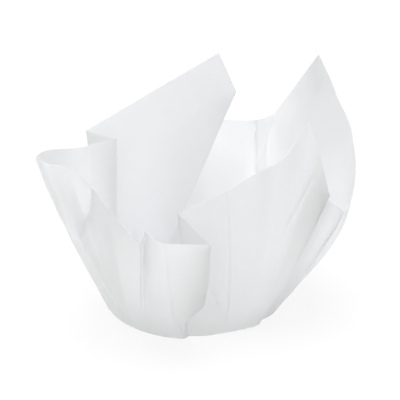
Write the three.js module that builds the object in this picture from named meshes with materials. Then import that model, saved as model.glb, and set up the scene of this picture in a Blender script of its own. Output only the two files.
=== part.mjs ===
// A tulip baking cup: one square sheet of greaseproof paper, pressed over a round former.
// Millimetres, +Z up. The origin is the middle of the flat base, on its underside.
// The sheet's corners stand up as four petals. Between them the wall is lower and is folded
// into pleats of three layers, which take up the paper that the round base can't use.

import * as THREE from 'three';

// Driving dimensions of the flat sheet and its former, in millimetres.
const SHEET_SIDE = 140;
const BASE_DIAMETER = 52;
const PAPER_THICKNESS = 0.1;

// How far the inner line of a pleat starts inside the base circle.
const PLEAT_TUCK = 1.2;

// The first side of the square sheet faces this way, in degrees counter-clockwise from +X.
const SHEET_TURN = 3;

// Fineness of the mesh: the step along the sheet's edge, and the steps from base to edge.
const EDGE_STEP = 5.2;
const WALL_STEPS = 14;

// The widest mitre at a fold, as a multiple of half the paper's thickness.
const MITRE_LIMIT = 2.5;

const PAPER_FINISH = { color: 0xeceeed, roughness: 0.78, metalness: 0 };

// The lines that shape the wall, counter-clockwise as seen from above. Angles are in degrees.
//   base     where the line leaves the base circle
//   run      the line's direction across the flat sheet, or CORNER where it runs to a corner
//   heading  the way in which the standing line leans, and lean, how far from upright
//   bow      how far its middle is pushed outwards, and sway, how far counter-clockwise, in mm
//   sharp    a pressed fold, where the paper turns at once
//   tucked   the inner line of a pleat
const CORNER = null;
const LINES = [
  // The near left petal, and the low wall beside it.
  { base: 222, run: CORNER, heading: 222, lean: 26, bow: 1.5 },
  { base: 224, run: 237, heading: 228, lean: 21, bow: 0, sharp: true },
  { base: 226, run: 243, heading: 240, lean: 21, bow: 3, sharp: true },
  { base: 229, run: 252, heading: 256, lean: 25, bow: 2 },
  { base: 234, run: 264, heading: 271, lean: 32, bow: 0, sharp: true },
  // The front flap, which lies over the front pleat.
  { base: 238, run: 269, heading: 271, lean: 24, bow: 1, sharp: true },
  { base: 252, run: 277, heading: 280, lean: 24, bow: 1.5 },
  { base: 263, run: 281, heading: 294, lean: 25, bow: 1, sway: 2.5, sharp: true },
  { base: 266, run: 299, heading: 256, lean: 15, bow: 0, sharp: true, tucked: true },
  // The near right petal.
  { base: 279, run: 301, heading: 258, lean: 11, bow: 1 },
  { base: 293, run: 304, heading: 271, lean: 11, bow: 2, sharp: true },
  { base: 302, run: 309, heading: 301, lean: 11, bow: 3 },
  { base: 308, run: 313, heading: 312, lean: 14, bow: 3 },
  { base: 314, run: CORNER, heading: 330, lean: 13, bow: 3 },
  { base: 318, run: 326, heading: 333, lean: 19, bow: 4 },
  { base: 323, run: 336, heading: 323, lean: 26, bow: 3, sharp: true },
  { base: 326, run: 358, heading: 360, lean: 9, bow: -1, sharp: true, tucked: true },
  // The low right wall.
  { base: 334, run: 382, heading: 331, lean: 29, bow: 2, sharp: true },
  { base: 350, run: 385, heading: 333, lean: 29, bow: 4 },
  { base: 362, run: 388, heading: 338, lean: 29, bow: 4 },
  // The far right petal.
  { base: 380, run: 397, heading: 354, lean: 25, bow: 2.5 },
  { base: 394, run: 403, heading: 366, lean: 20, bow: 2.5 },
  { base: 406, run: CORNER, heading: 369, lean: 15.5, bow: 2.5 },
  { base: 418, run: 419, heading: 399, lean: 23, bow: 2 },
  // The low back wall.
  { base: 428, run: 440, heading: 406, lean: 27, bow: 2, sharp: true },
  { base: 438, run: 449, heading: 405, lean: 27, bow: 2, sharp: true },
  { base: 456, run: 456, heading: 416, lean: 30, bow: 1 },
  { base: 470, run: 479, heading: 440, lean: 17, bow: 1, sharp: true },
  { base: 473, run: 498, heading: 348, lean: 23, bow: 0, sharp: true, tucked: true },
  // The far left petal, a nearly flat panel.
  { base: 490, run: CORNER, heading: 369, lean: 20.5, bow: 0 },
  { base: 504, run: 513, heading: 406, lean: 14, bow: 0 },
  { base: 516, run: 533, heading: 490, lean: 16, bow: 0, sharp: true },
  // The low left wall.
  { base: 520, run: 548, heading: 445, lean: 8, bow: 0, sharp: true, tucked: true },
  { base: 530, run: 555, heading: 480, lean: 13, bow: 1 },
  { base: 546, run: 570, heading: 507, lean: 17, bow: 2 },
  { base: 564, run: 586, heading: 566, lean: 21, bow: 2 },
];

const RIGHT_ANGLE = Math.PI / 2;
const radians = THREE.MathUtils.degToRad;
const bearing = (degrees) => new THREE.Vector2(Math.cos(radians(degrees)), Math.sin(radians(degrees)));

// The flat sheet's nearest corner to a bearing from the base.
function cornerNear(degrees) {
  const turn = radians(SHEET_TURN) + RIGHT_ANGLE / 2;
  const quarter = Math.round((radians(degrees) - turn) / RIGHT_ANGLE);
  const angle = turn + quarter * RIGHT_ANGLE;
  const reach = SHEET_SIDE * Math.SQRT1_2;
  return new THREE.Vector2(Math.cos(angle), Math.sin(angle)).multiplyScalar(reach);
}

// Where a line across the flat sheet meets the sheet's edge: the nearest of the sides ahead.
function edgePoint(start, direction) {
  const half = SHEET_SIDE / 2;
  let nearest = Infinity;
  for (let side = 0; side < 4; side += 1) {
    const outward = bearing(SHEET_TURN).rotateAround(new THREE.Vector2(), side * RIGHT_ANGLE);
    const approach = direction.dot(outward);
    if (approach > 0) nearest = Math.min(nearest, (half - start.dot(outward)) / approach);
  }
  return start.clone().addScaledVector(direction, nearest);
}

// A line of the table as flat and standing vectors, before any neighbour is looked at.
function layOut({ base, run, heading, lean, bow, sway = 0, sharp = false, tucked = false }) {
  const flatFoot = bearing(base).multiplyScalar(BASE_DIAMETER / 2);
  const flatEnd = run === CORNER ? cornerNear(base) : edgePoint(flatFoot, bearing(run));
  const away = bearing(heading).multiplyScalar(Math.sin(radians(lean)));
  const along = new THREE.Vector3(away.x, away.y, Math.cos(radians(lean)));
  return { base, flatEnd, along, bow, sway, sharp, inset: tucked ? PLEAT_TUCK : 0 };
}

const lines = LINES.map(layOut);

// A line by its number, which may run past either end of the list: one turn more or less.
function lineAt(index) {
  const turns = Math.floor(index / lines.length);
  const line = lines[index - turns * lines.length];
  return { ...line, base: line.base + 360 * turns };
}

// How fast a line's standing direction turns towards its neighbour. It is the mean of both
// sides where the paper is smooth, and the one side's own at a sharp fold.
function turning(index, span) {
  if (lineAt(index).sharp) return span.clone();
  const across = lineAt(index + 1).along.clone().sub(lineAt(index - 1).along);
  return across.setLength(span.length());
}

// The standing direction between a line and the next one, by a cubic through both.
function directionBetween(index, across) {
  const start = lineAt(index).along;
  const end = lineAt(index + 1).along;
  const span = end.clone().sub(start);
  const a2 = across * across;
  const a3 = a2 * across;
  return start
    .clone()
    .multiplyScalar(2 * a3 - 3 * a2 + 1)
    .addScaledVector(end, 3 * a2 - 2 * a3)
    .addScaledVector(turning(index, span), a3 - 2 * a2 + across)
    .addScaledVector(turning(index + 1, span), a3 - a2)
    .normalize();
}

// A column of points from the base circle to the sheet's edge. It is as long as the flat sheet
// is along it, and it stands on the middle surface of the base.
function columnBetween(index, across) {
  const line = lineAt(index);
  const next = lineAt(index + 1);
  const mix = (a, b) => THREE.MathUtils.lerp(a, b, across);
  const out = bearing(mix(line.base, next.base));
  const flatFoot = out.clone().multiplyScalar(BASE_DIAMETER / 2);
  const length = line.flatEnd.clone().lerp(next.flatEnd, across).distanceTo(flatFoot);
  const radius = BASE_DIAMETER / 2 - mix(line.inset, next.inset);
  const foot = new THREE.Vector3(out.x * radius, out.y * radius, PAPER_THICKNESS / 2);
  const along = directionBetween(index, across).multiplyScalar(length);
  const bow = mix(line.bow, next.bow);
  const sway = mix(line.sway, next.sway);
  const push = new THREE.Vector3(out.x * bow - out.y * sway, out.y * bow + out.x * sway, 0);
  const points = [];
  for (let row = 0; row <= WALL_STEPS; row += 1) {
    const share = row / WALL_STEPS;
    const arch = 4 * share * (1 - share);
    points.push(foot.clone().addScaledVector(along, share).addScaledVector(push, arch));
  }
  return points;
}

// The middle surface of the wall, as columns of points from the base circle to the edge.
function wallColumns() {
  const found = [];
  lines.forEach((line, index) => {
    const width = line.flatEnd.distanceTo(lineAt(index + 1).flatEnd);
    const steps = Math.max(1, Math.round(width / EDGE_STEP));
    for (let step = 0; step < steps; step += 1) found.push(columnBetween(index, step / steps));
  });
  return found;
}

const columns = wallColumns();
const columnAt = (index) => columns[(index + columns.length) % columns.length];

// The outward normal of a quad of the wall, from its two diagonals.
function quadNormal(column, row) {
  const left = columnAt(column);
  const right = columnAt(column + 1);
  const rising = right[row + 1].clone().sub(left[row]);
  const falling = left[row + 1].clone().sub(right[row]);
  return rising.cross(falling).normalize();
}

// How far the outer face stands from the middle surface at a point: a mitre of the faces there.
function offsetAt(column, row) {
  const faces = [];
  for (const side of [column - 1, column]) {
    if (row > 0) faces.push(quadNormal(side, row - 1));
    if (row < WALL_STEPS) faces.push(quadNormal(side, row));
  }
  const mean = faces.reduce((sum, face) => sum.add(face), new THREE.Vector3()).normalize();
  const half = PAPER_THICKNESS / 2;
  if (row === 0) {
    const under = new THREE.Vector3(0, 0, -1);
    return mean.clone().add(under).multiplyScalar(half / (1 + mean.dot(under)));
  }
  const least = Math.min(...faces.map((face) => face.dot(mean)));
  return mean.multiplyScalar(half / Math.max(least, 1 / MITRE_LIMIT));
}

// The closed sheet: an outer and an inner skin, joined along the sheet's edge.
function sheetGeometry() {
  const rows = WALL_STEPS + 1;
  const places = [];
  for (const side of [1, -1]) {
    columns.forEach((column, index) => {
      column.forEach((point, row) => {
        places.push(point.clone().addScaledVector(offsetAt(index, row), side));
      });
    });
  }
  const skin = columns.length * rows;
  const outer = (column, row) => (column % columns.length) * rows + row;
  const inner = (column, row) => skin + outer(column, row);
  const outerMiddle = places.push(new THREE.Vector3(0, 0, 0)) - 1;
  const innerMiddle = places.push(new THREE.Vector3(0, 0, PAPER_THICKNESS)) - 1;

  const triangles = [];
  const quad = (a, b, c, d) => triangles.push(a, b, c, a, c, d);
  for (let column = 0; column < columns.length; column += 1) {
    const next = column + 1;
    for (let row = 0; row < WALL_STEPS; row += 1) {
      quad(outer(column, row), outer(next, row), outer(next, row + 1), outer(column, row + 1));
      quad(inner(column, row), inner(column, row + 1), inner(next, row + 1), inner(next, row));
    }
    quad(outer(column, WALL_STEPS), outer(next, WALL_STEPS), inner(next, WALL_STEPS), inner(column, WALL_STEPS));
    triangles.push(outerMiddle, outer(next, 0), outer(column, 0));
    triangles.push(innerMiddle, inner(column, 0), inner(next, 0));
  }

  const geometry = new THREE.BufferGeometry();
  geometry.setAttribute('position', new THREE.Float32BufferAttribute(places.flatMap((p) => p.toArray()), 3));
  geometry.setIndex(triangles);
  geometry.computeVertexNormals();
  return geometry;
}

const cup = new THREE.Group();
const liner = new THREE.Mesh(sheetGeometry(), new THREE.MeshStandardMaterial(PAPER_FINISH));
liner.name = 'liner';
cup.add(liner);

export default cup;
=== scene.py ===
"""Dresses a tulip baking cup: one square sheet of white greaseproof paper, folded over a former.

The sheet has the solid model's base, pleats, flap and petals, and some of its fold lines stand up
to 9 mm from the model's. It adds a finer mesh, a rounded foot, kinked folds, creases, soft ripples
and a thin translucent finish. Lengths are in millimetres in the tables and in metres in the scene.
"""

import logging
import math
from dataclasses import dataclass, field, replace
from enum import Enum
from typing import Optional, Sequence, Union

import bpy
import numpy as np
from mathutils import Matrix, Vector, noise

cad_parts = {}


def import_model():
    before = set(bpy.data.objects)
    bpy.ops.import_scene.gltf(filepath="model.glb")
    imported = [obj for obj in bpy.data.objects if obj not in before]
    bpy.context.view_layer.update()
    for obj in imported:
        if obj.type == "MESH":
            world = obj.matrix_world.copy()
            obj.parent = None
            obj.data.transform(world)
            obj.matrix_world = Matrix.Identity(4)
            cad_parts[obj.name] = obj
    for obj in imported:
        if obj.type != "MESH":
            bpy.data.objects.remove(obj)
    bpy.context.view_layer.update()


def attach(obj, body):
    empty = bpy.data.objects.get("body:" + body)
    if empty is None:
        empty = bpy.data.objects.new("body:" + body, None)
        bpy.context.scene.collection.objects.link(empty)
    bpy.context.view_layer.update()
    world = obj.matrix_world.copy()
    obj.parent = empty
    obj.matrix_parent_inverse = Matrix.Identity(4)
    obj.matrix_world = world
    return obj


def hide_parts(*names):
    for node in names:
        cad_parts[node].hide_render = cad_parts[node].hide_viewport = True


LOG = logging.getLogger("baking_cup")
MM = 0.001
FULL_TURN = 360.0
QUARTER_TURN = 90.0
SHORTEST_NORMAL = 1e-9
CREASE_TAPER = 0.6
RIDGE_FALL = 1.6
GRID_WIDTH = 2.0
SHEET_MAP = "flat_sheet"
CUP_MIDDLE = (0.0, 0.0, 0.03)
WHITE = (1.0, 1.0, 1.0, 1.0)

# The colour sockets of a Mix node, by number, because its other types use the same names.
MIX_FACTOR = 0
MIX_FIRST = 6
MIX_SECOND = 7
MIX_RESULT = 2

Link = Union["Socket", float, Sequence[float]]
Triple = tuple[float, float, float]
Rgba = tuple[float, float, float, float]
Kinks = tuple[tuple[float, float], ...]


class Fold(Enum):
    """How the paper turns along a line of the wall."""

    SOFT = "soft"
    PRESSED = "pressed"
    TUCKED = "tucked"


class Crumple(Enum):
    """The section of a crumple across its own line."""

    ROLL = "roll"
    RIDGE = "ridge"


@dataclass(frozen=True)
class WallLine:
    """One line that shapes the wall, counter-clockwise as seen from above, in degrees and mm.

    base is where it leaves the base circle. run is its direction across the flat sheet, or
    None where it runs to a corner. heading and lean say how it stands, and bow and sway how
    far its middle is pushed outwards and counter-clockwise. detour is a kinked push
    counter-clockwise, as shares of the line's length and mm. groove is how far the paper is
    creased outwards along the line itself. panel says that the paper is flat from here to the
    next line, and soften how far, in mm, the turn is rounded below the rim.
    """

    base: float
    run: Optional[float]
    heading: float
    lean: float
    bow: float
    sway: float = 0.0
    fold: Fold = Fold.SOFT
    detour: Kinks = ()
    groove: float = 0.0
    panel: bool = False
    soften: float = 0.0


@dataclass(frozen=True)
class Crease:
    """A small crumple along a path across the flat sheet, in mm from its middle.

    height is how far it stands out of the outer face, and width the scale at which it falls
    away to each side. It fades out towards both ends of the path.
    """

    path: tuple[tuple[float, float], ...]
    height: float
    width: float
    section: Crumple = Crumple.ROLL

    def lift(self, place: np.ndarray) -> np.ndarray:
        """Works out how far the crease pushes the paper outwards.

        Args:
            place: Points of the flat sheet, in mm, one in each row.

        Returns:
            The push at each point, in mm.
        """
        corners = np.array(self.path, dtype=float)
        spans = np.diff(corners, axis=0)
        lengths = np.linalg.norm(spans, axis=1)
        before = np.concatenate(([0.0], np.cumsum(lengths)))
        nearest = np.full(len(place), np.inf)
        travel = np.zeros(len(place))
        for start, span, length, passed in zip(corners, spans, lengths, before):
            along = span / length
            gone = np.clip((place - start) @ along, 0.0, length)
            away = np.linalg.norm(place - start - gone[:, None] * along, axis=1)
            closer = away < nearest
            nearest = np.where(closer, away, nearest)
            travel = np.where(closer, (passed + gone) / before[-1], travel)
        offset = nearest / self.width
        fall = RIDGE_FALL * offset if self.section is Crumple.RIDGE else offset**2
        taper = np.sin(np.pi * np.clip(travel, 0.0, 1.0)) ** CREASE_TAPER
        return self.height * np.exp(-fall) * taper


@dataclass(frozen=True)
class LaidLine:
    """A wall line as flat and standing vectors, in mm."""

    base: float
    flat_end: np.ndarray
    along: np.ndarray
    bow: float
    sway: float
    pressed: bool
    inset: float
    detour: np.ndarray
    groove: float
    panel: bool
    soften: float


# The kinks of the flap's fold and of the crease beside it, as shares of their length and mm.
FLAP_FOLD: Kinks = ((0.0, 0.0), (0.2, -1.3), (0.38, 3.0), (0.52, 2.7), (0.75, 1.5), (1.0, 0.0))
FLAP_CREASE: Kinks = ((0.0, 0.0), (0.15, 0.7), (0.27, -1.1), (0.44, -0.8), (1.0, 0.0))

WALL_LINES: tuple[WallLine, ...] = (
    # The near left petal, and the low wall beside it.
    WallLine(222, None, 222, 26, 1.5),
    WallLine(224, 237, 228, 21, 1.5),
    WallLine(226, 243, 240, 21, 2),
    WallLine(229, 252, 256, 25, 2),
    WallLine(234, 264, 271, 32, 0, fold=Fold.PRESSED),
    # The front flap, which lies over the front pleat.
    WallLine(238, 269, 271, 24, 1, fold=Fold.PRESSED),
    WallLine(262, 263.5, 256, 24, 1.5, fold=Fold.PRESSED, detour=FLAP_CREASE, groove=-0.3),
    WallLine(264.5, 281, 294, 25, 1, fold=Fold.PRESSED, detour=FLAP_FOLD),
    WallLine(267, 299, 256, 15, 0, fold=Fold.TUCKED),
    # The near right petal.
    WallLine(279, 301, 258, 11, 1),
    WallLine(293, 304, 271, 11, 2, fold=Fold.PRESSED, groove=-0.35),
    WallLine(301, 309, 301, 11, 3),
    WallLine(306, 313.5, 312, 14, 3),
    WallLine(311, None, 335, 14, 3, fold=Fold.PRESSED, soften=7),
    WallLine(314, 327.5, 333, 18, 1),
    WallLine(317, 338.5, 323, 26, 0, sway=2.5, fold=Fold.PRESSED),
    WallLine(321, 359, 368.5, 12.5, -1, fold=Fold.TUCKED),
    # The low right wall.
    WallLine(334, 382, 319, 21.6, 0, fold=Fold.PRESSED),
    WallLine(350, 385, 314, 33, 2.2, fold=Fold.PRESSED),
    WallLine(362, 388, 321, 32.5, 4),
    # The far right petal.
    WallLine(380, 397, 354, 25, 2.5),
    WallLine(394, 403, 366, 20, 2.5),
    WallLine(406, None, 369, 15.5, 2.5, fold=Fold.PRESSED, panel=True, soften=9),
    # The low back wall.
    WallLine(428, 440, 406, 27, 2, fold=Fold.PRESSED),
    WallLine(438, 449, 405, 27, 2),
    WallLine(456, 456, 416, 30, 1),
    WallLine(470, 479, 440, 17, 1, fold=Fold.PRESSED),
    WallLine(473, 494.5, 367, 22, 0, fold=Fold.TUCKED, panel=True),
    # The far left petal, a flat panel.
    WallLine(490, None, 374, 20, 0, fold=Fold.PRESSED, panel=True, soften=4),
    WallLine(516, 533, 490, 16, 0, fold=Fold.PRESSED),
    # The low left wall.
    WallLine(520, 548, 445, 8, 0, fold=Fold.TUCKED),
    WallLine(530, 555, 480, 13, 1),
    WallLine(546, 570, 507, 17, 2),
    WallLine(564, 586, 566, 21, 2),
)

CREASES: tuple[Crease, ...] = (
    # The near right petal: the short crease beside the flap.
    Crease(((16, -44), (14.3, -36), (13, -28)), -0.9, 1.2, Crumple.RIDGE),
    # The crumpled strip beside its outer fold.
    Crease(((72, -50), (63, -48), (54, -46), (46, -44)), 0.8, 1.7, Crumple.RIDGE),
    Crease(((45, -43.5), (54, -36)), 0.4, 1.0, Crumple.RIDGE),
    # The low right wall's fold.
    Crease(((71, 14.5), (58, 9), (45, 3), (34, -2.5)), -1.7, 2.1),
    # The near left petal: the roll beside its corner, the lobe and the crease under the lobe.
    Crease(((-54, -74), (-52, -63), (-49, -54), (-43, -47)), 1.3, 3.6),
    Crease(((-45.5, -73), (-45, -68), (-43.3, -57), (-43.5, -46)), -1.3, 1.6, Crumple.RIDGE),
    Crease(((-37, -39), (-30, -28), (-25, -21)), -0.8, 1.4, Crumple.RIDGE),
    # The front flap's pinch at its foot.
    Crease(((-4.6, -36), (-3.4, -26)), -0.8, 1.0, Crumple.RIDGE),
    # The low back wall's upright folds.
    Crease(((4, 71), (8.7, 63), (11.6, 57.6), (15, 48)), 0.8, 1.5, Crumple.RIDGE),
    Crease(((13, 70), (20.4, 58.4), (25, 48)), -0.4, 1.5, Crumple.RIDGE),
)


def bearing(degrees: float) -> np.ndarray:
    """Returns the unit vector of a bearing, counter-clockwise from +X."""
    angle = math.radians(degrees)
    return np.array((math.cos(angle), math.sin(angle)))


def unit(vector: np.ndarray) -> np.ndarray:
    """Returns a vector at length 1."""
    return vector / np.linalg.norm(vector)


@dataclass
class FoldedSheet:
    """The cup's one piece: its flat size, its former and its mesh, in mm and degrees.

    straight_stretch is where the base's edge was pressed straight, and straightness the share
    of the way to its chord. tuck is how far inwards a tucked line starts. edge_step is the
    width of a column at the sheet's edge. soft_depth is how far below the rim a softened turn
    is fully rounded, and soft_reach how far it spreads, as a multiple of the line's soften.
    Ripples and creases start at calm_margin from the base and are full after calm_length.
    """

    name: str = "paper_cup"
    side: float = 140.0
    base_diameter: float = 52.0
    straight_stretch: tuple[float, float] = (264.5, 314.0)
    straightness: float = 0.75
    tuck: float = 1.2
    sheet_turn: float = 3.0
    paper: float = 0.05
    floor_lift: float = 0.05
    edge_step: float = 0.98
    groove_width: float = 0.9
    fewest_columns: int = 2
    soft_depth: float = 9.0
    soft_reach: float = 2.5
    base_steps: int = 7
    foot_steps: int = 4
    foot_radius: float = 1.6
    wall_steps: int = 64
    smooth_angle: float = 32.0
    ripple_height: float = 0.35
    ripple_width: float = 13.0
    wrinkle_height: float = 0.05
    wrinkle_width: float = 4.5
    calm_margin: float = 1.0
    calm_length: float = 10.0
    weld: float = 0.0001
    lines: tuple[WallLine, ...] = WALL_LINES
    creases: tuple[Crease, ...] = CREASES
    laid: list[LaidLine] = field(default_factory=list)

    def corner_near(self, degrees: float) -> np.ndarray:
        """Finds the flat sheet's nearest corner to a bearing from the base.

        Args:
            degrees: The bearing.

        Returns:
            The corner's place on the flat sheet.
        """
        turn = self.sheet_turn + QUARTER_TURN / 2
        quarter = round((degrees - turn) / QUARTER_TURN)
        return bearing(turn + QUARTER_TURN * quarter) * self.side * math.sqrt(0.5)

    def edge_point(self, start: np.ndarray, direction: np.ndarray) -> np.ndarray:
        """Finds where a line across the flat sheet meets the sheet's edge.

        Args:
            start: Where the line starts.
            direction: Its direction, of length 1.

        Returns:
            The place on the nearest side ahead.
        """
        reach = math.inf
        for quarter in range(4):
            outward = bearing(self.sheet_turn + QUARTER_TURN * quarter)
            approach = float(direction @ outward)
            if approach > 0:
                reach = min(reach, (self.side / 2 - float(start @ outward)) / approach)
        return start + direction * reach

    def lay_out(self, line: WallLine) -> LaidLine:
        """Turns a row of the table into vectors.

        Args:
            line: The row.

        Returns:
            The line's flat end and its standing direction.
        """
        foot = bearing(line.base) * self.base_diameter / 2
        if line.run is None:
            flat_end = self.corner_near(line.base)
        else:
            flat_end = self.edge_point(foot, bearing(line.run))
        lean = math.radians(line.lean)
        along = np.array((*(bearing(line.heading) * math.sin(lean)), math.cos(lean)))
        inset = self.tuck if line.fold is Fold.TUCKED else 0.0
        pressed = line.fold is not Fold.SOFT
        detour = np.array(line.detour or ((0.0, 0.0), (1.0, 0.0)))
        return LaidLine(
            line.base, flat_end, along, line.bow, line.sway, pressed, inset, detour,
            line.groove, line.panel, line.soften,
        )

    def line_at(self, index: int) -> LaidLine:
        """Returns a line by its number, which may run past either end of the list."""
        turns, place = divmod(index, len(self.laid))
        line = self.laid[place]
        return replace(line, base=line.base + FULL_TURN * turns)

    def turning(self, index: int, span: np.ndarray) -> np.ndarray:
        """Says how fast a line's standing direction turns towards its neighbour.

        Args:
            index: The line's number.
            span: The difference of the two lines' directions.

        Returns:
            The rate of turn: the span itself at a pressed fold, and a mean of both sides else.
        """
        if self.line_at(index).pressed:
            return span
        across = self.line_at(index + 1).along - self.line_at(index - 1).along
        return unit(across) * np.linalg.norm(span)

    def direction_between(self, index: int, across: float) -> np.ndarray:
        """Works out the standing direction between a line and the next one, by a cubic.

        Args:
            index: The first line's number.
            across: The share of the way to the next line.

        Returns:
            The direction, of length 1.
        """
        start, end = self.line_at(index).along, self.line_at(index + 1).along
        span = end - start
        square, cube = across**2, across**3
        return unit(
            start * (2 * cube - 3 * square + 1)
            + end * (3 * square - 2 * cube)
            + self.turning(index, span) * (cube - 2 * square + across)
            + self.turning(index + 1, span) * (cube - square)
        )

    def standing_end(self, line: LaidLine) -> np.ndarray:
        """Places a line's upper end.

        Args:
            line: The line.

        Returns:
            The point, in mm.
        """
        out = bearing(line.base)
        foot = np.array((*(out * (self.base_diameter / 2 - line.inset)), self.floor_lift))
        length = float(np.linalg.norm(line.flat_end - out * self.base_diameter / 2))
        return foot + line.along * length

    def base_radius(self, degrees: float) -> float:
        """Says how far the base's edge is from its middle, less where it was pressed straight.

        Args:
            degrees: The bearing.

        Returns:
            The radius, in mm.
        """
        first, last = self.straight_stretch
        radius = self.base_diameter / 2
        if not first < degrees % FULL_TURN < last:
            return radius
        half = math.radians(last - first) / 2
        off = math.radians(degrees % FULL_TURN - (first + last) / 2)
        return radius * (1 - self.straightness * (1 - math.cos(half) / math.cos(off)))

    def column_between(self, index: int, across: float) -> tuple[np.ndarray, np.ndarray]:
        """Places one column of the sheet, from the middle of the base to the sheet's edge.

        Args:
            index: The number of the line before it.
            across: The share of the way to the next line.

        Returns:
            The standing points and the flat points, in mm.
        """
        line, following = self.line_at(index), self.line_at(index + 1)

        def mix(first: float, second: float) -> float:
            """Returns the value between the two lines."""
            return first + (second - first) * across

        out = bearing(mix(line.base, following.base))
        flat_foot = out * self.base_diameter / 2
        flat_span = line.flat_end * (1 - across) + following.flat_end * across - flat_foot
        length = float(np.linalg.norm(flat_span))
        radius = self.base_radius(mix(line.base, following.base)) - mix(line.inset, following.inset)
        along = self.direction_between(index, across)
        if line.panel:
            ends = [self.standing_end(each) for each in (line, following)]
            span = ends[0] * (1 - across) + ends[1] * across
            along = span - np.array((*(out * radius), self.floor_lift))
            length = float(np.linalg.norm(along))
            along /= length
        aside = np.array((-out[1], out[0]))
        push = out * mix(line.bow, following.bow) + aside * mix(line.sway, following.sway)
        foot = np.array((*(out * radius), self.floor_lift))

        def wall(travel: float) -> np.ndarray:
            """Returns the wall's point at a length from the foot."""
            share = travel / length
            kink = mix(np.interp(share, *line.detour.T), np.interp(share, *following.detour.T))
            shift = push * 4 * share * (1 - share) + aside * kink
            return foot + along * travel + np.array((*shift, 0.0))

        def base(travel: float) -> np.ndarray:
            """Returns the base's point at a length inwards from the foot."""
            return foot - np.array((*out, 0.0)) * travel

        turn = self.foot_radius
        rise = (length - turn) / self.wall_steps
        inwards = [radius + (turn - radius) * n / self.base_steps for n in range(self.base_steps)]
        shares = [step / self.foot_steps for step in range(self.foot_steps + 1)]
        upwards = [turn + rise * n for n in range(1, self.wall_steps + 1)]
        inside, outside = base(turn), wall(turn)
        points = [base(travel) for travel in inwards]
        points += [inside * (1 - t) ** 2 + foot * 2 * t * (1 - t) + outside * t**2 for t in shares]
        points += [wall(travel) for travel in upwards]
        travels = [-travel for travel in inwards] + [turn * (2 * t - 1) for t in shares] + upwards
        flat = [
            flat_foot + flat_span * (travel / length) if travel > 0 else out * (radius + travel)
            for travel in travels
        ]
        return np.array(points), np.array(flat)

    def places_across(self, index: int) -> list[float]:
        """Chooses where the columns stand between a line and the next one.

        Args:
            index: The line's number.

        Returns:
            Their places along the sheet's edge, in mm from the line.
        """
        line, following = self.line_at(index), self.line_at(index + 1)
        width = float(np.linalg.norm(following.flat_end - line.flat_end))
        steps = max(self.fewest_columns, round(width / self.edge_step))
        places = [width * step / steps for step in range(steps)]
        if line.groove:
            places.append(self.groove_width / 2)
        if following.groove:
            places.append(width - self.groove_width / 2)
        return sorted(places)

    def columns(self) -> tuple[np.ndarray, np.ndarray, np.ndarray]:
        """Places all the columns.

        Returns:
            The standing and the flat points, indexed by column, row and axis, and each
            column's crease outwards.
        """
        standing, flat, grooves = [], [], []
        for index in range(len(self.laid)):
            line, following = self.line_at(index), self.line_at(index + 1)
            width = float(np.linalg.norm(following.flat_end - line.flat_end))
            for place in self.places_across(index):
                points, spots = self.column_between(index, place / width)
                standing.append(points)
                flat.append(spots)
                near = max(0.0, 1 - place / self.groove_width)
                far = max(0.0, 1 - (width - place) / self.groove_width)
                grooves.append(line.groove * near + following.groove * far)
        points = self.softened(np.array(standing), np.array(flat))
        return points, np.array(flat), np.array(grooves)

    def softened(self, points: np.ndarray, flat: np.ndarray) -> np.ndarray:
        """Rounds the turn at the lines that ask for it, more and more below the rim.

        Args:
            points: The standing points by column and row.
            flat: The flat points by column and row.

        Returns:
            The rounded points.
        """
        rounded = points.copy()
        count = len(points)
        below = np.linalg.norm(flat[:, -1:] - flat, axis=2)
        for line in self.laid:
            if not line.soften:
                continue
            limit = self.soft_reach * line.soften
            reach = np.linalg.norm(flat[:, -1] - line.flat_end, axis=1)
            for column in np.flatnonzero(reach < limit):
                around = np.arange(column - count // 2, column + count // 2) % count
                gap = np.linalg.norm(flat[around, -1] - flat[column, -1], axis=1)
                share = np.exp(-((gap / line.soften) ** 2))
                mean = np.tensordot(share / share.sum(), points[around], axes=1)
                fade = np.cos(np.pi / 2 * min(1.0, reach[column] / limit))
                weight = np.clip(below[column] / self.soft_depth, 0.0, 1.0)[:, None] * fade
                rounded[column] = points[column] * (1 - weight) + mean * weight
        return rounded

    def outward(self, points: np.ndarray) -> np.ndarray:
        """Works out the outer face's normals.

        Args:
            points: The standing points by column and row.

        Returns:
            The unit normals by column and row.
        """
        around = np.roll(points, -1, axis=0) - np.roll(points, 1, axis=0)
        rising = np.gradient(points, axis=1)
        normal = np.cross(around, rising)
        size = np.linalg.norm(normal, axis=2, keepdims=True)
        return normal / np.maximum(size, SHORTEST_NORMAL)

    def crumpled(self, points: np.ndarray, flat: np.ndarray, grooves: np.ndarray) -> np.ndarray:
        """Adds the paper's soft ripples and its creases.

        Args:
            points: The standing points by column and row.
            flat: The flat points by column and row.
            grooves: How far each column is creased outwards.

        Returns:
            The crumpled points.
        """
        reach = np.linalg.norm(flat, axis=2)
        outside = reach - self.base_diameter / 2 - self.calm_margin
        rise = np.clip(outside / self.calm_length, 0.0, 1.0)
        lift = np.zeros(reach.shape)
        for column, row in np.ndindex(reach.shape):
            x, y = flat[column, row]
            ripple = noise.noise(Vector((x, y, 0.0)) / self.ripple_width)
            wrinkle = noise.noise(Vector((x, y, 0.0)) / self.wrinkle_width)
            lift[column, row] = ripple * self.ripple_height + wrinkle * self.wrinkle_height
        lift += grooves[:, None]
        for crease in self.creases:
            lift += crease.lift(flat.reshape(-1, 2)).reshape(lift.shape)
        return points + self.outward(points) * (lift * rise)[..., None]

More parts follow.
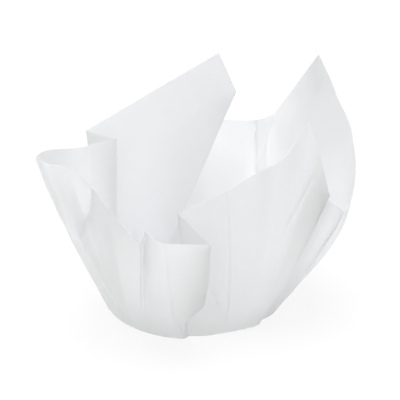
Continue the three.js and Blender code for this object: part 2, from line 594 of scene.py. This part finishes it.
    def build(self) -> bpy.types.Object:
        """Builds the cup from a flat grid that is rolled up, closed and given its thickness.

        Returns:
            The finished piece.
        """
        self.laid = [self.lay_out(line) for line in self.lines]
        points, flat, grooves = self.columns()
        points = self.crumpled(points, flat, grooves)
        count, rows = points.shape[:2]
        bpy.ops.object.select_all(action="DESELECT")
        bpy.ops.mesh.primitive_grid_add(x_subdivisions=count, y_subdivisions=rows - 1, size=GRID_WIDTH)
        piece = bpy.context.object
        piece.name = self.name
        mesh = piece.data
        mesh.name = self.name
        mesh.uv_layers.active.name = SHEET_MAP
        spots = []
        for vertex in mesh.vertices:
            column = round((vertex.co.x / GRID_WIDTH + 0.5) * count)
            row = round((vertex.co.y / GRID_WIDTH + 0.5) * (rows - 1))
            spots.append((column % count, row))
        for vertex, (column, row) in zip(mesh.vertices, spots):
            vertex.co = points[column, row] * MM
        layer = mesh.uv_layers[SHEET_MAP].data
        for loop in mesh.loops:
            x, y = flat[spots[loop.vertex_index]]
            layer[loop.index].uv = (x / self.side + 0.5, y / self.side + 0.5)
        bpy.ops.object.mode_set(mode="EDIT")
        bpy.ops.mesh.select_all(action="SELECT")
        bpy.ops.mesh.remove_doubles(threshold=self.weld * MM)
        bpy.ops.mesh.select_all(action="DESELECT")
        bpy.ops.object.mode_set(mode="OBJECT")
        thickness = piece.modifiers.new("paper_thickness", "SOLIDIFY")
        thickness.thickness = self.paper * MM
        thickness.offset = 0.0
        thickness.use_rim = True
        bpy.ops.object.modifier_apply(modifier=thickness.name)
        bpy.ops.object.shade_smooth_by_angle(angle=math.radians(self.smooth_angle))
        return piece


class Socket:
    """A value in a shader: arithmetic on it adds Math nodes."""

    def __init__(self, tree: "ShaderTree", output: Optional[bpy.types.NodeSocket]) -> None:
        """Keeps the tree and the output that the value comes from."""
        self.tree = tree
        self.output = output

    def _math(self, operation: str, *values: Link) -> "Socket":
        """Returns the result of one Math node."""
        return self.tree.add("ShaderNodeMath", {"operation": operation}, dict(enumerate(values)))

    def __add__(self, other: Link) -> "Socket":
        """Adds."""
        return self._math("ADD", self, other)

    def __mul__(self, other: Link) -> "Socket":
        """Multiplies."""
        return self._math("MULTIPLY", self, other)

    def __rsub__(self, other: Link) -> "Socket":
        """Subtracts from."""
        return self._math("SUBTRACT", other, self)

    def larger(self, other: Link) -> "Socket":
        """Returns the larger of this and the other value."""
        return self._math("MAXIMUM", self, other)


class ShaderTree:
    """The nodes of one material or world."""

    def __init__(self, owner: Union[bpy.types.Material, bpy.types.World]) -> None:
        """Empties the owner's node tree and keeps it."""
        owner.use_nodes = True
        self.nodes = owner.node_tree.nodes
        self.links = owner.node_tree.links
        self.nodes.clear()

    def add(
        self,
        kind: str,
        settings: Optional[dict[str, object]] = None,
        inputs: Optional[dict[Union[int, str], Link]] = None,
        output: Union[int, str] = 0,
    ) -> Socket:
        """Adds a node.

        Args:
            kind: The node's type.
            settings: Its own settings, which are set first.
            inputs: Values or links, by socket name or number.
            output: The output that is returned.

        Returns:
            That output.
        """
        node = self.nodes.new(kind)
        for key, value in (settings or {}).items():
            setattr(node, key, value)
        for key, value in (inputs or {}).items():
            if isinstance(value, Socket):
                self.links.new(value.output, node.inputs[key])
            else:
                node.inputs[key].default_value = value
        if not node.outputs:
            return Socket(self, None)
        return Socket(self, node.outputs[output])

    def blend(self, share: Link, first: Socket, second: Socket) -> Socket:
        """Returns a mix of two shaders, with this share of the second."""
        return self.add("ShaderNodeMixShader", {}, {0: share, 1: first, 2: second})


@dataclass(frozen=True)
class GreaseproofPaper:
    """Thin uncoated white paper: matt, faintly mottled and a little translucent."""

    name: str = "greaseproof_paper"
    light: Rgba = (0.905, 0.905, 0.90, 1.0)
    dark: Rgba = (0.87, 0.872, 0.868, 1.0)
    through: Rgba = (0.905, 0.905, 0.915, 1.0)
    translucency: float = 0.55
    translucency_spread: float = 0.12
    roughness: float = 0.62
    roughness_spread: float = 0.12
    mottle_scale: float = 34.0
    mottle_detail: float = 5.0
    mottle_share: float = 0.7
    fibre_scale: float = 420.0
    fibre_detail: float = 3.0
    fibre_share: float = 0.3
    fibre_bump: float = 0.5
    bump_height: float = 0.00006
    bump_strength: float = 0.35

    def build(self) -> bpy.types.Material:
        """Builds the material.

        Returns:
            The material.
        """
        material = bpy.data.materials.new(self.name)
        tree = ShaderTree(material)
        place = tree.add("ShaderNodeUVMap", {"uv_map": SHEET_MAP})
        mottle, fibre = (
            tree.add("ShaderNodeTexNoise", {}, {"Vector": place, "Scale": scale, "Detail": detail})
            for scale, detail in (
                (self.mottle_scale, self.mottle_detail), (self.fibre_scale, self.fibre_detail)
            )
        )
        shade = mottle * self.mottle_share + fibre * self.fibre_share
        colour = tree.add(
            "ShaderNodeMix", {"data_type": "RGBA"},
            {MIX_FACTOR: shade, MIX_FIRST: self.dark, MIX_SECOND: self.light}, MIX_RESULT,
        )
        height = fibre * self.fibre_bump + mottle
        bump = tree.add(
            "ShaderNodeBump", {},
            {"Height": height, "Strength": self.bump_strength, "Distance": self.bump_height},
        )
        roughness = mottle * self.roughness_spread + self.roughness
        surface = tree.add(
            "ShaderNodeBsdfPrincipled", {},
            {"Base Color": colour, "Roughness": roughness, "Normal": bump},
        )
        glow = tree.add("ShaderNodeBsdfTranslucent", {}, {"Color": self.through, "Normal": bump})
        least = self.translucency - self.translucency_spread / 2
        mixed = tree.blend(shade * self.translucency_spread + least, surface, glow)
        tree.add("ShaderNodeOutputMaterial", {}, {"Surface": mixed})
        return material


@dataclass(frozen=True)
class Lamp:
    """A soft square lamp that points at the cup, in metres and watts."""

    name: str
    place: Triple
    target: Triple
    size: float
    energy: float
    colour: Triple

    def build(self) -> None:
        """Adds the lamp."""
        data = bpy.data.lights.new(self.name, "AREA")
        data.shape = "SQUARE"
        data.size = self.size
        data.energy = self.energy
        data.color = self.colour
        lamp = bpy.data.objects.new(self.name, data)
        lamp.location = self.place
        aim = Vector(self.target) - Vector(self.place)
        lamp.rotation_euler = aim.to_track_quat("-Z", "Y").to_euler()
        bpy.context.scene.collection.objects.link(lamp)


@dataclass(frozen=True)
class Studio:
    """The pale floor, the soft light and the camera."""

    floor_width: float = 6.0
    floor_colour: Rgba = (0.59, 0.6, 0.58, 1.0)
    floor_glow: float = 0.8
    floor_strength: float = 1.06
    world_colour: Rgba = (0.995, 1.0, 1.0, 1.0)
    world_strength: float = 0.315
    aim: Triple = (0.00207, 0.0, 0.033)
    distance: float = 1.0
    elevation: float = 27.0
    lens: float = 304.65
    sensor: float = 36.0
    clip_start: float = 0.05
    clip_end: float = 20.0
    lamps: tuple[Lamp, ...] = (
        Lamp("top_lamp", (0.0, 0.0, 1.3), CUP_MIDDLE, 0.8, 18.1, (0.982, 0.98, 1.0)),
        Lamp("back_lamp", (0.0, 1.25, 0.35), CUP_MIDDLE, 0.8, 4.0, (0.93, 0.93, 1.0)),
        Lamp("back_left_lamp", (-0.8, 0.7, 0.8), CUP_MIDDLE, 0.8, 8.5, (0.95, 0.95, 1.0)),
        Lamp("back_right_lamp", (0.7, 0.9, 0.7), CUP_MIDDLE, 0.8, 1.4, (0.95, 0.95, 1.0)),
        Lamp("front_right_lamp", (0.5, -1.0, 0.7), CUP_MIDDLE, 0.8, 3.6, (0.985, 1.0, 0.965)),
        Lamp("front_left_lamp", (-0.6, -0.9, 0.7), CUP_MIDDLE, 0.8, 3.0, (1.0, 1.0, 0.95)),
    )

    def build_camera(self) -> None:
        """Adds the camera at the photograph's angle."""
        data = bpy.data.cameras.new("camera")
        data.lens = self.lens
        data.sensor_width = self.sensor
        data.clip_start = self.clip_start
        data.clip_end = self.clip_end
        camera = bpy.data.objects.new("camera", data)
        pitch = math.radians(self.elevation)
        back = Vector((0.0, -math.cos(pitch), math.sin(pitch))) * self.distance
        camera.location = Vector(self.aim) + back
        camera.rotation_euler = (math.radians(QUARTER_TURN) - pitch, 0.0, 0.0)
        bpy.context.scene.collection.objects.link(camera)
        bpy.context.scene.camera = camera

    def build_floor(self) -> None:
        """Adds the pale floor, which shows white to the camera and keeps the cup's shadow."""
        bpy.ops.object.select_all(action="DESELECT")
        bpy.ops.mesh.primitive_plane_add(size=self.floor_width)
        floor = bpy.context.object
        floor.name = "floor"
        material = bpy.data.materials.new("pale_floor")
        tree = ShaderTree(material)
        seen = self.seen_directly(tree)
        matt = tree.add("ShaderNodeBsdfDiffuse", {}, {"Color": self.floor_colour})
        glow = tree.add("ShaderNodeEmission", {}, {"Color": WHITE, "Strength": self.floor_strength})
        mixed = tree.blend(seen * self.floor_glow, matt, glow)
        tree.add("ShaderNodeOutputMaterial", {}, {"Surface": mixed})
        floor.data.materials.append(material)

    def seen_directly(self, tree: ShaderTree) -> Socket:
        """Builds a mask of what the camera sees, also in a gloss or through glass.

        Args:
            tree: The shader that it goes into.

        Returns:
            The mask, from 0 to 1.
        """
        camera, glossy, through, scattered = (
            tree.add("ShaderNodeLightPath", {}, {}, f"Is {kind} Ray")
            for kind in ("Camera", "Glossy", "Transmission", "Diffuse")
        )
        return camera.larger(glossy).larger(through * (1 - scattered))

    def build_world(self) -> None:
        """Sets the soft light from all round and the white backdrop."""
        world = bpy.data.worlds.new("studio")
        bpy.context.scene.world = world
        tree = ShaderTree(world)
        seen = self.seen_directly(tree)
        light = tree.add(
            "ShaderNodeBackground", {}, {"Color": self.world_colour, "Strength": self.world_strength}
        )
        white = tree.add("ShaderNodeBackground", {}, {"Color": WHITE, "Strength": 1.0})
        mixed = tree.blend(seen, light, white)
        tree.add("ShaderNodeOutputWorld", {}, {"Surface": mixed})

    def build(self) -> None:
        """Builds the whole studio."""
        self.build_camera()
        self.build_floor()
        self.build_world()
        for lamp in self.lamps:
            lamp.build()
        bpy.context.scene.view_settings.view_transform = "Standard"


def main() -> None:
    """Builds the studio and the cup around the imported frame."""
    logging.basicConfig(level=logging.INFO, format="%(name)s: %(message)s")
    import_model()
    Studio().build()
    sheet = FoldedSheet()
    cup = sheet.build()
    cup.data.materials.clear()
    cup.data.materials.append(GreaseproofPaper().build())
    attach(cup, "root")
    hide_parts("liner")
    LOG.info("%s: %d faces", cup.name, len(cup.data.polygons))


if __name__ == "__main__":
    main()
